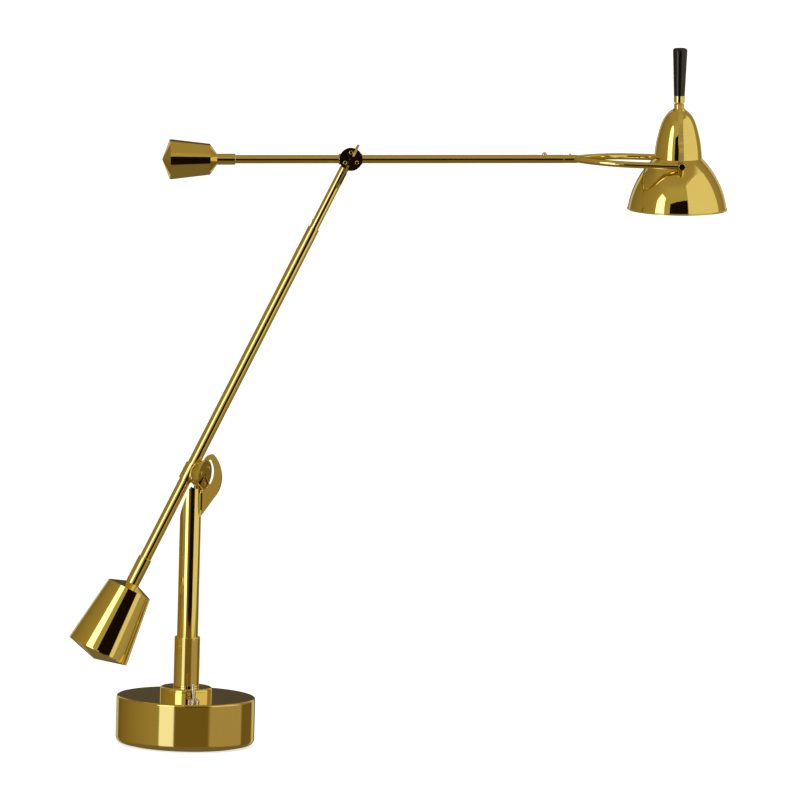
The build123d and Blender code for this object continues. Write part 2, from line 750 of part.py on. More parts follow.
def fork_hoop():
    """The fork: two bent rods that end in flat eyes each side of the shade."""
    hoop = fork_rods()
    eye = Rot(90, 0, 0) * Cylinder(fork_eye_d / 2, fork_eye_t)
    hole = Rot(90, 0, 0) * Cylinder(trunnion_screw_d / 2 + slip, 4 * fork_half_gap)
    for side in (-1, 1):
        hoop += in_frame(FORK, Pos(fork_len, side * fork_half_gap, 0) * eye)
    return hoop - in_frame(FORK, Pos(fork_len, 0, 0) * hole)


def trunnion_screws():
    """The two screws that the shade tips on, one through each eye."""
    outer = fork_half_gap + fork_eye_t / 2
    shank_end = fork_half_gap - fork_eye_t / 2 - gap - 5
    head = rod(trunnion_head_d / 2, outer, outer + trunnion_head_t)
    head = fillet(head.edges().sort_by(Axis.Z)[-1], 1.0)
    head -= Pos(0, 0, outer + trunnion_head_t) * Box(trunnion_head_d, 1.0, 1.4)
    screw = head + rod(trunnion_screw_d / 2, shank_end, outer)
    return [in_frame(FORK, Pos(fork_len, 0, 0) * Rot(side * 90, 0, 0) * screw) for side in (-1, 1)]


# ----------------------------------------------------------------- shade

def curved_wall(curve, points):
    """A thin turned wall on a curve through (radius, height) points, its thickness inwards."""
    outer = curve(*[(r, 0, z) for r, z in points])
    inner = curve(*[(r - shade_wall, 0, z) for r, z in points])
    ends = [Line(outer @ 1, inner @ 1), Line(inner @ 0, outer @ 0)]
    return revolve(make_face([outer, ends[0], inner, ends[1]]), Axis.Z)


def shade_bell():
    """The spun lower bell, with a rolled rim and a spigot that the upper dome slips over."""
    bead = revolve(Plane.XZ * Pos(rim_r - 0.2, -rim_below) * Circle(rim_bead_r), Axis.Z)
    spigot_r = neck_r - shade_wall - 0.4
    lip = tube(neck_r - 0.1, spigot_r - 1.2, neck_above - 1.0, neck_above)
    spigot = tube(spigot_r, spigot_r - 1.2, neck_above - 0.5, neck_above + 5)
    wall = curved_wall(ThreePointArc, [(neck_r, neck_above), (bell_mid_r, -bell_mid_below), (rim_r, -rim_below)])
    bell = wall + bead + lip + spigot
    hole = Rot(90, 0, 0) * Cylinder(trunnion_d / 2 + slip, 4 * rim_r)
    return in_frame(SHADE, bell - hole)


def shade_dome():
    """The spun upper dome that covers the lampholder."""
    dome = curved_wall(Spline, [(neck_r, neck_above + slip), (cap_low_r, cap_low_above), (cap_mid_r, cap_mid_above),
                                (cap_high_r, cap_high_above), (cap_top_r + 2.0, cap_top_above - 1.6)])
    crown_top = cap_top_above - 1.6
    crown = tube(cap_top_r + 2.0, rod_d / 2 + slip, crown_top - 1.6, crown_top)
    return in_frame(SHADE, dome + crown)


def spacer_foot():
    return cap_top_above - 1.6 + slip


def ferrule_spacer():
    """The turned brass spacer between the dome and the yoke."""
    foot = spacer_foot()
    top = foot + spacer_h
    body = turned((0, foot), (cap_top_r + 0.6, foot), (cap_top_r, foot + 1.6), (ferrule_d / 2 + 0.2, foot + 2.2),
                  (ferrule_d / 2 + 0.2, top), (0, top))
    return in_frame(SHADE, body - rod(rod_d / 2 + slip, 0, top + 1))


def yoke_foot_at():
    """How far the middle of the yoke's foot is from the shade's middle."""
    return fork_half_gap - fork_eye_t / 2 - gap - yoke_t / 2


def shade_yoke():
    """The bent strap that hangs the shade: over the dome's top and down to both pivots."""
    top = spacer_foot() + spacer_h + slip + yoke_t / 2
    foot = yoke_foot_at()
    shoulder = trunnion_d / 2 + 0.6
    half = ferrule_d / 2 - 0.7
    bend = Spline((0, half, top), (0, 11.0, top - 4.4), (0, cap_high_r + 2.6, cap_high_above + 1.8),
                  (0, cap_mid_r + 2.4, cap_mid_above + 1.2), (0, cap_low_r + 2.8, cap_low_above + 0.5),
                  (0, foot, shoulder), tangents=((0, 1, 0), (0, 0, -1)))
    path = Line((0, 0, top), (0, half, top)) + bend + Line((0, foot, shoulder), (0, foot, 0))
    section = Plane(origin=(0, 0, top), x_dir=(1, 0, 0), z_dir=(0, 1, 0)) * Rectangle(yoke_w, yoke_t)
    leg = sweep(section, path=path)
    eye = Pos(0, foot, 0) * Rot(90, 0, 0) * Cylinder(yoke_w / 2, yoke_t)
    half_yoke = leg + eye
    yoke = half_yoke + Rot(0, 0, 180) * half_yoke
    yoke -= Rot(90, 0, 0) * Cylinder(trunnion_screw_d / 2 + running, 4 * rim_r)
    return in_frame(SHADE, yoke - rod(rod_d / 2 + slip, top - yoke_t, top + yoke_t))


def shade_ferrule():
    """The turned brass neck between the yoke and the handle."""
    foot = spacer_foot() + spacer_h + yoke_t + 2 * slip
    top = spacer_foot() + ferrule_h
    neck = turned((0, foot), (ferrule_d / 2 + 0.2, foot), (ferrule_d / 2 + 0.7, foot + 0.5),
                  (ferrule_d / 2 + 0.7, top), (0, top))
    return in_frame(SHADE, neck - rod(rod_d / 2 + slip, 0, foot + 40))


def handle_foot():
    return cap_top_above - 1.6 + 2 * slip + ferrule_h


def shade_handle():
    """The black turned handle, wider at its top."""
    foot = handle_foot()
    top = foot + handle_h
    grip = turned((0, foot), (handle_root_d / 2, foot), (handle_tip_d / 2, top), (0, top))
    grip = fillet(grip.edges().sort_by(Axis.Z)[-1], 2.4)
    return in_frame(SHADE, grip - rod(rod_d / 2 + slip, foot - 1, foot + 22))


def holder_top():
    return cap_top_above - holder_below_cap


def handle_rod():
    """The threaded rod that ties the handle, the dome and the lampholder together."""
    return in_frame(SHADE, rod(rod_d / 2, holder_top() - 6, handle_foot() + 21))


def rod_nut():
    """The nut that clamps the dome to the rod from inside."""
    top = cap_top_above - 3.2 - slip
    return in_frame(SHADE, hexagon(8.0, top - 3.2, top) - rod(rod_d / 2 + slip, 0, 99))


def lampholder():
    """The moulded lampholder that hangs on the rod."""
    top = holder_top()
    body = turned((0, top - holder_h), (holder_d / 2, top - holder_h), (holder_d / 2, top - 6), (6.5, top), (0, top))
    body -= rod(bulb_neck_d / 2 + gap, top - holder_h - 1, top - 9)
    return in_frame(SHADE, body - rod(rod_d / 2 + slip, top - 6.1, top + 1))


def bulb():
    """A small round lamp in its holder."""
    centre = -rim_below + bulb_clear_of_rim + bulb_r
    cap_low = holder_top() - holder_h + 1
    cap_high = holder_top() - 10
    neck = rod(bulb_neck_d / 2, centre, cap_high)
    cone = turned((0, centre), (bulb_r * 0.92, centre + bulb_r * 0.38), (bulb_neck_d / 2, cap_low - 2), (0, cap_low - 2))
    return in_frame(SHADE, Pos(0, 0, centre) * Sphere(bulb_r) + cone + neck)


def shade_trunnions():
    """The two bushes let into the bell's wall that the fork's screws run in."""
    outer = yoke_foot_at() - yoke_t / 2 - slip
    inner = outer - 5.6
    bush = tube(trunnion_d / 2, trunnion_screw_d / 2 + running, inner, outer)
    return [in_frame(SHADE, Rot(side * 90, 0, 0) * bush) for side in (-1, 1)]


# ----------------------------------------------------------------- build

os.makedirs("parts", exist_ok=True)

write("base_shell", base_shell())
write("base_ballast", base_ballast())
write("base_floor_plate", base_floor_plate())
write("base_felt", tube(felt_d / 2, 6.0, 0, felt_t))
write("base_tie_screws", *tie_screws())
write("base_collar", base_collar())
write("swivel_bush", swivel_bush())
write("cord_gland", cord_gland())

write("switch_body", switch_body())
write("switch_bushing", switch_bushing())
write("switch_nut", switch_nut())
write("switch_lever", switch_lever())

write("stem_spindle", stem_spindle())
write("spindle_washer", spindle_washer())
write("spindle_nut", spindle_nut())
write("stem_sleeve", stem_sleeve())
write("stem_tube", stem_tube())
write("stem_head", stem_head())
write("stem_head_cap", in_frame(HEAD, joint_cap(head_r, head_face, cap_screw_pcd)))
write("stem_cap_screws", *[in_frame(HEAD, s) for s in joint_cap_screws(head_face, head_split, cap_screw_pcd)])
write("stem_crescent", stem_crescent())

write("lower_hub", lower_hub())
write("lower_pivot", in_frame(HEAD, joint_pivot(head_face, head_split, 2.8)))
write("lower_friction_washer", in_frame(HEAD, joint_washer(head_r - 6.0, head_split)))
write("lower_arm_tube", lower_arm_tube())
write("lower_lock_screw", lower_lock_screw())
write("lower_weight_sleeve", in_frame(ARM, weight_sleeve(lower_sleeve_d, lower_tube_d / 2, lower_sleeve_top,
                                                         lower_shoulder_top - slip)))
lower_ends = (lower_shoulder_top, lower_shoulder, lower_rim, 20.0)
write("lower_weight", in_frame(ARM, weight_body(lower_narrow_d, lower_wide_d, lower_sleeve_d / 2 + 0.6,
                                                lower_tube_d / 2, lower_ends)))
write("lower_weight_end", in_frame(ARM, weight_end(lower_wide_d, lower_rim, lower_apex)))

write("elbow_stub", elbow_stub())
write("stub_screw", stub_screw())
write("elbow_head", elbow_head())
write("elbow_head_cap", in_frame(ELBOW, joint_cap(elbow_head_r, elbow_face, elbow_cap_screw_pcd)))
write("elbow_cap_screws", *[in_frame(ELBOW, s) for s in joint_cap_screws(elbow_face, elbow_split, elbow_cap_screw_pcd)])
write("elbow_crescent", elbow_crescent())

write("elbow_hub", elbow_hub())
write("elbow_pivot", in_frame(ELBOW, joint_pivot(elbow_face, elbow_split, 2.0)))
write("elbow_friction_washer", in_frame(ELBOW, joint_washer(elbow_head_r - 3.5, elbow_split)))
write("upper_arm_tube", upper_arm_tube())
write("upper_weight_sleeve", in_frame(UPPER, weight_sleeve(upper_sleeve_d, upper_tube_d / 2, upper_sleeve_end,
                                                           upper_shoulder_top - slip)))
upper_ends = (upper_shoulder_top, upper_shoulder, upper_rim, 14.0)
write("upper_weight", in_frame(UPPER, weight_body(upper_narrow_d, upper_wide_d, upper_sleeve_d / 2 + 0.3,
                                                  upper_tube_d / 2, upper_ends)))
write("upper_weight_end", in_frame(UPPER, weight_end(upper_wide_d, upper_rim, upper_apex)))
write("fork_stop_pin", fork_stop_pin())

write("fork_socket", fork_socket())
write("fork_socket_pin", fork_socket_pin())
write("fork_hoop", fork_hoop())
write("trunnion_screws", *trunnion_screws())

write("shade_bell", shade_bell())
write("shade_dome", shade_dome())
write("ferrule_spacer", ferrule_spacer())
write("shade_yoke", shade_yoke())
write("shade_ferrule", shade_ferrule())
write("shade_handle", shade_handle())
write("handle_rod", handle_rod())
write("rod_nut", rod_nut())
write("lampholder", lampholder())
write("bulb", bulb())
write("shade_trunnions", *shade_trunnions())
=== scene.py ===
import json
from math import cos, pi, radians, sin

import bpy
from mathutils import Matrix, Vector


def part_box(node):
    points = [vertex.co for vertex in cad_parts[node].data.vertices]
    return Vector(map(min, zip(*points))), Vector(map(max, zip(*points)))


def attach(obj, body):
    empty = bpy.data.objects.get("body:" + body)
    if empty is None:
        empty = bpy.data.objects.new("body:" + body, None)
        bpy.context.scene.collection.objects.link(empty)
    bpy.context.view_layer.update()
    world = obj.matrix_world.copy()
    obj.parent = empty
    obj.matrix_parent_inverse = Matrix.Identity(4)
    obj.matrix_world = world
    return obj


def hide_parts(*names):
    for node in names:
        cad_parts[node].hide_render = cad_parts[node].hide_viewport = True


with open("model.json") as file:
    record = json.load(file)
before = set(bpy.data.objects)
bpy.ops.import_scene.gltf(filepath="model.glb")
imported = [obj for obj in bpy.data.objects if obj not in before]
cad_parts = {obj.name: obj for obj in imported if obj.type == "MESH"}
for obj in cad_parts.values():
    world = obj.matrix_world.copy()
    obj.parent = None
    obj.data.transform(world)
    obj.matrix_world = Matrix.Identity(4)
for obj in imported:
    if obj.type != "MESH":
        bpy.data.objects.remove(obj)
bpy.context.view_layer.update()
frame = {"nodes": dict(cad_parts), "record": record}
nodes = frame["nodes"]
scene = bpy.context.scene
scene.view_settings.view_transform = "Standard"

# ------------------------------------------------------------ camera
# The lamp is seen square from its front, from a little above, through a very long lens.
# The picture leans by one and a half degrees, as one from a hand-held camera does.
view_height = 7.4  # degrees above the level
view_lean = 1.5  # degrees
view_width = 0.874  # metres across the picture at the lamp
view_from = 33.4  # metres from the lamp
view_centre = Vector((0.2254, 0.0327, 0.3803))
sensor_width = 36.0  # millimetres

look = Vector((0, cos(radians(view_height)), -sin(radians(view_height))))
level_right = Vector((1, 0, 0))
level_up = level_right.cross(look)
right = level_right * cos(radians(view_lean)) + level_up * sin(radians(view_lean))
up = right.cross(look)
lens = bpy.data.cameras.new("camera")
lens.sensor_width = sensor_width
lens.lens = sensor_width / 2 / (view_width / 2 / view_from)
lens.clip_start = 1.0
lens.clip_end = 200.0
camera = bpy.data.objects.new("camera", lens)
camera.matrix_world = Matrix.Translation(view_centre - look * view_from) @ Matrix(
    ((right.x, up.x, -look.x), (right.y, up.y, -look.y), (right.z, up.z, -look.z))).to_4x4()
scene.collection.objects.link(camera)
scene.camera = camera


# ------------------------------------------------------------ light
# Even, nearly neutral light from all round, and a white background behind the lamp. Mirrors
# would see that white too, but the bay's walls further down stand between it and the brass.
def colour(hex_code):
    """An sRGB hex value as linear red, green, blue and alpha."""
    parts = [int(hex_code[i:i + 2], 16) / 255 for i in (1, 3, 5)]
    return tuple(c / 12.92 if c <= 0.04045 else ((c + 0.055) / 1.055) ** 2.4 for c in parts) + (1.0,)


def add(tree, kind, settings=None, **sockets):
    """Adds a node. A socket is named, or numbered as in_0; it takes a value or another socket."""
    made = tree.nodes.new(kind)
    for name, value in (settings or {}).items():
        setattr(made, name, value)
    for name, value in sockets.items():
        key = int(name[3:]) if name.startswith("in_") else name.replace("_", " ")
        if isinstance(value, bpy.types.NodeSocket):
            tree.links.new(value, made.inputs[key])
        else:
            made.inputs[key].default_value = value
    return made


def seen_or_mirrored(tree):
    """1 for rays from the camera, a mirror or clear glass, 0 for those that only carry light."""
    rays = add(tree, "ShaderNodeLightPath").outputs
    seen = rays["Is Camera Ray"]
    for kind in ("Is Glossy Ray", "Is Transmission Ray"):
        seen = add(tree, "ShaderNodeMath", {"operation": "MAXIMUM"}, in_0=seen, in_1=rays[kind]).outputs[0]
    return seen


world = bpy.data.worlds.new("studio")
world.use_nodes = True
tree = world.node_tree
tree.nodes.clear()
white = add(tree, "ShaderNodeBackground", Color=colour("#FFFFFF"), Strength=1.0).outputs[0]
soft = add(tree, "ShaderNodeBackground", Color=colour("#F4F1EA"), Strength=0.85).outputs[0]
both = add(tree, "ShaderNodeMixShader", in_0=seen_or_mirrored(tree), in_1=soft, in_2=white).outputs[0]
add(tree, "ShaderNodeOutputWorld", Surface=both)
scene.world = world

# One large soft light at the left, for the gentle modelling of what isn't metal.
lamp_data = bpy.data.lights.new("soft_light", "AREA")
lamp_data.shape = "RECTANGLE"
lamp_data.size = 0.8
lamp_data.size_y = 1.6
lamp_data.energy = 14.0
soft_light = bpy.data.objects.new("soft_light", lamp_data)
soft_light.location = (-1.5, -1.8, 1.2)
towards_lamp = Vector((0.1, 0, 0.35)) - soft_light.location
soft_light.rotation_euler = towards_lamp.to_track_quat("-Z", "Y").to_euler()
soft_light.visible_glossy = False
soft_light.visible_camera = False
scene.collection.objects.link(soft_light)

# ------------------------------------------------------------ table
# A plain white top, which shows the lamp's shadow only close to the base. The brass doesn't
# mirror it, because its white would wash out the dark bands on the drum and the stem.
table_size = 40.0
table_drop = 0.0004  # keeps the top clear of the felt's underside
bpy.ops.object.select_all(action="DESELECT")
bpy.ops.mesh.primitive_plane_add(size=table_size, location=(0, 0, -table_drop))
table_top = bpy.context.object
table_top.name = "table_top"
table_top.visible_glossy = False
laminate = bpy.data.materials.new("white_laminate")
laminate.use_nodes = True
tree = laminate.node_tree
tree.nodes.clear()
lit = add(tree, "ShaderNodeBsdfDiffuse", Color=colour("#C8C8C8")).outputs[0]
glow = add(tree, "ShaderNodeEmission", Color=colour("#FFFFFF"), Strength=0.72).outputs[0]
whole = add(tree, "ShaderNodeAddShader", in_0=lit, in_1=glow).outputs[0]
top = add(tree, "ShaderNodeMixShader", in_0=seen_or_mirrored(tree), in_1=lit, in_2=whole).outputs[0]
add(tree, "ShaderNodeOutputMaterial", Surface=top)
table_top.data.materials.append(laminate)


# ------------------------------------------------------------ the bay's walls
# Polished brass shows the room more than itself. The lamp stands in a photographer's bay of
# warm, unevenly lit walls, here a round shell that only mirrors see. It lights nothing and
# hides the white background from the brass.
def ramp_stops(ramp_node, stops):
    """Sets a colour ramp from (place, hex) pairs."""
    ramp = ramp_node.color_ramp
    while len(ramp.elements) > 1:
        ramp.elements.remove(ramp.elements[-1])
    ramp.elements[0].position = stops[0][0]
    ramp.elements[0].color = colour(stops[0][1])
    for place, hex_code in stops[1:]:
        ramp.elements.new(place).color = colour(hex_code)


def only_mirrored(thing):
    """Hides a piece of the bay from all but mirror reflections."""
    thing.visible_camera = False
    thing.visible_diffuse = False
    thing.visible_shadow = False


# Places round the room: 0 and 1 are straight behind the lamp, 0.25 its left, 0.5 the
# camera, 0.75 its right. The low walls are those that an upright face mirrors from here.
low_walls = (
    (0.000, "#4D4639"), (0.040, "#5A5040"), (0.055, "#C9BC92"), (0.085, "#C9BC92"), (0.100, "#6E572F"),
    (0.200, "#86723E"), (0.333, "#9A8855"), (0.371, "#9A8855"), (0.3745, "#FFFFFF"), (0.4385, "#FFFFFF"),
    (0.4425, "#6E5B2D"), (0.600, "#6E5B2D"), (0.612, "#A7946C"), (0.795, "#A7946C"), (0.805, "#6E5B30"),
    (0.900, "#6E5B30"), (0.915, "#C9BC92"), (0.945, "#C9BC92"), (0.960, "#5A5040"), (1.000, "#4D4639"))
high_walls = (
    (0.000, "#4D4639"), (0.040, "#5A5040"), (0.055, "#C9BC92"), (0.085, "#C9BC92"), (0.100, "#7A6A42"),
    (0.200, "#8C7A48"), (0.333, "#9A8650"), (0.440, "#AA9E62"), (0.600, "#AA9E62"), (0.612, "#E0D4AC"),
    (0.795, "#E0D4AC"), (0.805, "#A08C5C"), (0.900, "#8A784E"), (0.915, "#C9BC92"), (0.945, "#C9BC92"),
    (0.960, "#5A5040"), (1.000, "#4D4639"))

bay_radius = 4.0
bay_middle = (0.2, 0, 0.35)
bpy.ops.object.select_all(action="DESELECT")
bpy.ops.mesh.primitive_uv_sphere_add(segments=48, ring_count=24, radius=bay_radius, location=bay_middle)
bay = bpy.context.object
bay.name = "bay_walls"
paint = bpy.data.materials.new("bay_wall_paint")
paint.use_nodes = True
tree = paint.node_tree
tree.nodes.clear()
way = add(tree, "ShaderNodeTexCoord").outputs["Object"]
way = add(tree, "ShaderNodeVectorMath", {"operation": "NORMALIZE"}, in_0=way).outputs[0]
xyz = add(tree, "ShaderNodeSeparateXYZ", Vector=way).outputs
back = add(tree, "ShaderNodeMath", {"operation": "MULTIPLY"}, in_0=xyz["Y"], in_1=-1.0).outputs[0]
turn = add(tree, "ShaderNodeMath", {"operation": "ARCTAN2"}, in_0=xyz["X"], in_1=back).outputs[0]
place = add(tree, "ShaderNodeMapRange", {"clamp": True}, Value=turn, From_Min=-pi, From_Max=pi).outputs[0]
rise = add(tree, "ShaderNodeMath", {"operation": "ARCSINE"}, in_0=xyz["Z"]).outputs[0]


def change_with_height(from_degrees, to_degrees, first, second):
    """Goes smoothly from one colour to another between two heights, in degrees above the level."""
    amount = add(tree, "ShaderNodeMapRange", {"clamp": True, "interpolation_type": "SMOOTHSTEP"},
                 Value=rise, From_Min=radians(from_degrees), From_Max=radians(to_degrees)).outputs[0]
    return add(tree, "ShaderNodeMix", {"data_type": "RGBA"}, in_0=amount, in_6=first,
               in_7=second).outputs[2]


low = add(tree, "ShaderNodeValToRGB", Fac=place)
ramp_stops(low, low_walls)
high = add(tree, "ShaderNodeValToRGB", Fac=place)
ramp_stops(high, high_walls)
wall = change_with_height(-4.0, 0.0, low.outputs[0], high.outputs[0])
with_ceiling = change_with_height(42.0, 54.0, wall, colour("#A08A58"))
with_floor = change_with_height(-18.0, -34.0, with_ceiling, colour("#746645"))
bay_glow = add(tree, "ShaderNodeEmission", Color=with_floor, Strength=1.0).outputs[0]
add(tree, "ShaderNodeOutputMaterial", Surface=bay_glow)
bay.data.materials.append(paint)
only_mirrored(bay)


# Nearer than the walls stand a tall soft light at the left, a black panel between the lamp
# and the camera and a wide golden reflector at the right. Only mirrors see them too.
def panel(name, hex_code, strength, left, right, foot, head, peak):
    """A flat upright panel from one place on the floor to another, with a peak in its middle."""
    bpy.ops.object.select_all(action="DESELECT")
    bpy.ops.mesh.primitive_circle_add(vertices=5, fill_type="NGON")
    made = bpy.context.object
    made.name = name
    middle = ((left[0] + right[0]) / 2, (left[1] + right[1]) / 2)
    corners = ((left, foot), (right, foot), (right, head), (middle, peak), (left, head))
    for vertex, (place_on_floor, height) in zip(made.data.vertices, corners):
        vertex.co = (place_on_floor[0], place_on_floor[1], height)
    skin = bpy.data.materials.new(name + "_cloth")
    skin.use_nodes = True
    skin.node_tree.nodes.clear()
    light = add(skin.node_tree, "ShaderNodeEmission", Color=colour(hex_code), Strength=strength)
    add(skin.node_tree, "ShaderNodeOutputMaterial", Surface=light.outputs[0])
    made.data.materials.append(skin)
    only_mirrored(made)


panel("tall_soft_light", "#FFFFFF", strength=1.7, left=(-1.81, -1.69), right=(-0.646, -1.875),
      foot=-0.15, head=1.8, peak=2.2)
panel("black_panel", "#140C04", strength=1.0, left=(-0.03, -1.63), right=(1.14, -1.22),
      foot=-0.08, head=1.3, peak=1.3)
panel("golden_reflector", "#E0D4AC", strength=1.0, left=(1.16, -1.17), right=(2.2, 0.75),
      foot=-0.1, head=2.0, peak=2.0)

# ------------------------------------------------------------ base drum
# A spun brass drum over a cast-iron ballast ring, closed below by a steel plate and felt.
# Its wall and its top both take the fine grained finish, upright on the wall; the collar and swivel bush
# are buffed.
def finish(name):
    """An empty material, its node tree and its surface-position socket."""
    made = bpy.data.materials.new(name)
    made.use_nodes = True
    made.node_tree.nodes.clear()
    where = add(made.node_tree, "ShaderNodeTexCoord").outputs["Object"]
    return made, made.node_tree, where


def surface(tree, **sockets):
    """The finish's shader, joined to its output."""
    shader = add(tree, "ShaderNodeBsdfPrincipled", **sockets)
    add(tree, "ShaderNodeOutputMaterial", Surface=shader.outputs[0])


def wear(node_names, material):
    """Gives the finish to pieces that keep their own shape."""
    for name in node_names:
        mesh = nodes[name].data
        mesh.materials.clear()
        mesh.materials.append(material)


# Brass, 63/37, buffed to a mirror and lacquered: a deep yellow mirror, with a faint
# unevenness from the buffing wheel, in patches of about 11 mm and ripples of about 4 mm.
brass_light = "#FAE99A"
brass_deep = "#F6E18C"
buffed_brass, tree, where = finish("buffed_lacquered_brass")
patches = add(tree, "ShaderNodeTexNoise", Vector=where, Scale=90.0, Detail=3.0).outputs["Fac"]
tint = add(tree, "ShaderNodeMix", {"data_type": "RGBA"}, in_0=patches, in_6=colour(brass_light),
           in_7=colour(brass_deep)).outputs[2]
haze = add(tree, "ShaderNodeMapRange", Value=patches, To_Min=0.015, To_Max=0.045).outputs[0]
ripple = add(tree, "ShaderNodeTexNoise", Vector=where, Scale=260.0, Detail=2.0).outputs["Fac"]
relief = add(tree, "ShaderNodeBump", Strength=0.02, Distance=0.0002, Height=ripple).outputs[0]
surface(tree, Base_Color=tint, Metallic=1.0, Roughness=haze, Normal=relief)

# The drum's wall: the same brass with an upright grain about 1.4 mm wide, which shows as
# soft vertical bands.
drum_r = 0.0758
grained_brass, tree, where = finish("upright_grained_brass")
axes = add(tree, "ShaderNodeSeparateXYZ", Vector=where).outputs
round_angle = add(tree, "ShaderNodeMath", {"operation": "ARCTAN2"}, in_0=axes["Y"],
                  in_1=axes["X"]).outputs[0]
round_length = add(tree, "ShaderNodeMath", {"operation": "MULTIPLY"}, in_0=round_angle,
                   in_1=drum_r).outputs[0]
stretched = add(tree, "ShaderNodeCombineXYZ", X=round_length, Y=0.0, Z=0.0).outputs[0]
grain = add(tree, "ShaderNodeTexNoise", Vector=stretched, Scale=700.0, Detail=4.0,
            Roughness=0.7).outputs["Fac"]
tint = add(tree, "ShaderNodeMix", {"data_type": "RGBA"}, in_0=grain, in_6=colour(brass_light),
           in_7=colour("#F0D884")).outputs[2]
haze = add(tree, "ShaderNodeMapRange", Value=grain, To_Min=0.03, To_Max=0.08).outputs[0]
relief = add(tree, "ShaderNodeBump", Strength=0.03, Distance=0.0002, Height=grain).outputs[0]
surface(tree, Base_Color=tint, Metallic=1.0, Roughness=haze, Normal=relief)

wear(("base_shell",), grained_brass)
wear(("base_collar", "swivel_bush"), buffed_brass)

# Cast iron, as it left the sand: dark grey, with pits about 2 mm across and up to 0.8 mm deep.
cast_iron, tree, where = finish("sand_cast_iron")
pits = add(tree, "ShaderNodeTexNoise", Vector=where, Scale=450.0, Detail=6.0).outputs["Fac"]
tint = add(tree, "ShaderNodeMix", {"data_type": "RGBA"}, in_0=pits, in_6=colour("#2B2A29"),
           in_7=colour("#4A4642")).outputs[2]
relief = add(tree, "ShaderNodeBump", Strength=0.6, Distance=0.0008, Height=pits).outputs[0]
surface(tree, Base_Color=tint, Metallic=0.7, Roughness=0.62, Normal=relief)
wear(("base_ballast",), cast_iron)

# Steel, turned and zinc plated: cool grey with a slight blue-white bloom.
zinc_steel, tree, where = finish("zinc_plated_steel")
bloom = add(tree, "ShaderNodeTexNoise", Vector=where, Scale=300.0, Detail=4.0).outputs["Fac"]
tint = add(tree, "ShaderNodeMix", {"data_type": "RGBA"}, in_0=bloom, in_6=colour("#B9BCBF"),
           in_7=colour("#D6D4CB")).outputs[2]
haze = add(tree, "ShaderNodeMapRange", Value=bloom, To_Min=0.25, To_Max=0.42).outputs[0]
surface(tree, Base_Color=tint, Metallic=1.0, Roughness=haze)
wear(("base_floor_plate", "base_tie_screws", "stem_spindle", "spindle_washer", "spindle_nut"), zinc_steel)

# Pressed wool felt, black, with fibres about half a millimetre apart.
felt, tree, where = finish("pressed_wool_felt")
fibres = add(tree, "ShaderNodeTexNoise", Vector=where, Scale=2000.0, Detail=6.0,
             Roughness=0.8).outputs["Fac"]
tint = add(tree, "ShaderNodeMix", {"data_type": "RGBA"}, in_0=fibres, in_6=colour("#141414"),
           in_7=colour("#2C2B2A")).outputs[2]
relief = add(tree, "ShaderNodeBump", Strength=0.7, Distance=0.0003, Height=fibres).outputs[0]
surface(tree, Base_Color=tint, Roughness=0.95, Normal=relief, Sheen_Weight=0.4, Sheen_Roughness=0.5)
wear(("base_felt",), felt)

# ------------------------------------------------------------ cord gland
# A moulded rubber bush in the drum's rear wall, where the mains cord leaves.
soft_rubber, tree, where = finish("moulded_black_rubber")
skin = add(tree, "ShaderNodeTexNoise", Vector=where, Scale=900.0, Detail=3.0).outputs["Fac"]
tint = add(tree, "ShaderNodeMix", {"data_type": "RGBA"}, in_0=skin, in_6=colour("#171717"),
           in_7=colour("#262524")).outputs[2]
relief = add(tree, "ShaderNodeBump", Strength=0.15, Distance=0.0002, Height=skin).outputs[0]
surface(tree, Base_Color=tint, Roughness=0.6, Normal=relief)
wear(("cord_gland",), soft_rubber)

# ------------------------------------------------------------ toggle switch
# A bat-lever toggle switch, bushing up through the drum's top, held by a round knurled
# nut. Lever, bushing and nut are nickel plated; the block below is moulded phenolic.
bright_nickel, tree, where = finish("bright_nickel_plate")
swirl = add(tree, "ShaderNodeTexNoise", Vector=where, Scale=500.0, Detail=3.0).outputs["Fac"]
tint = add(tree, "ShaderNodeMix", {"data_type": "RGBA"}, in_0=swirl, in_6=colour("#F2F0EA"),
           in_7=colour("#E4E1D8")).outputs[2]
haze = add(tree, "ShaderNodeMapRange", Value=swirl, To_Min=0.28, To_Max=0.38).outputs[0]
surface(tree, Base_Color=tint, Metallic=1.0, Roughness=haze)
wear(("switch_bushing",), bright_nickel)


def turned_piece(name, where, profile, sides, body, material):
    """Turns a line of (radius, height) points about an upright axis."""
    bpy.ops.object.select_all(action="DESELECT")
    bpy.ops.mesh.primitive_circle_add(vertices=sides, radius=profile[0][0], fill_type="NOTHING",
                                      location=(where[0], where[1], profile[0][1]))
    made = bpy.context.object
    made.name = name
    bpy.ops.object.mode_set(mode="EDIT")
    bpy.ops.mesh.select_mode(type="EDGE")
    bpy.ops.mesh.select_all(action="SELECT")
    for (old_r, old_z), (new_r, new_z) in zip(profile, profile[1:]):
        bpy.ops.mesh.extrude_edges_move(TRANSFORM_OT_translate={"value": (0, 0, new_z - old_z)})
        scale = new_r / old_r
        bpy.ops.transform.resize(value=(scale, scale, 1), center_override=(where[0], where[1], new_z))
    bpy.ops.mesh.select_all(action="SELECT")
    bpy.ops.mesh.remove_doubles(threshold=0.000001)
    bpy.ops.mesh.normals_make_consistent(inside=False)
    bpy.ops.object.mode_set(mode="OBJECT")
    bpy.ops.object.transform_apply(location=True, rotation=True, scale=True)
    made.data.materials.append(material)
    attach(made, body)
    return made


def round_place(node_name):
    """An upright round node's axis, as x and y, its foot, its top and its radius."""
    low_corner, high_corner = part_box(node_name)
    axis = [(low_corner[i] + high_corner[i]) / 2 for i in (0, 1)]
    return (*axis, low_corner[2], high_corner[2], (high_corner[0] - low_corner[0]) / 2)


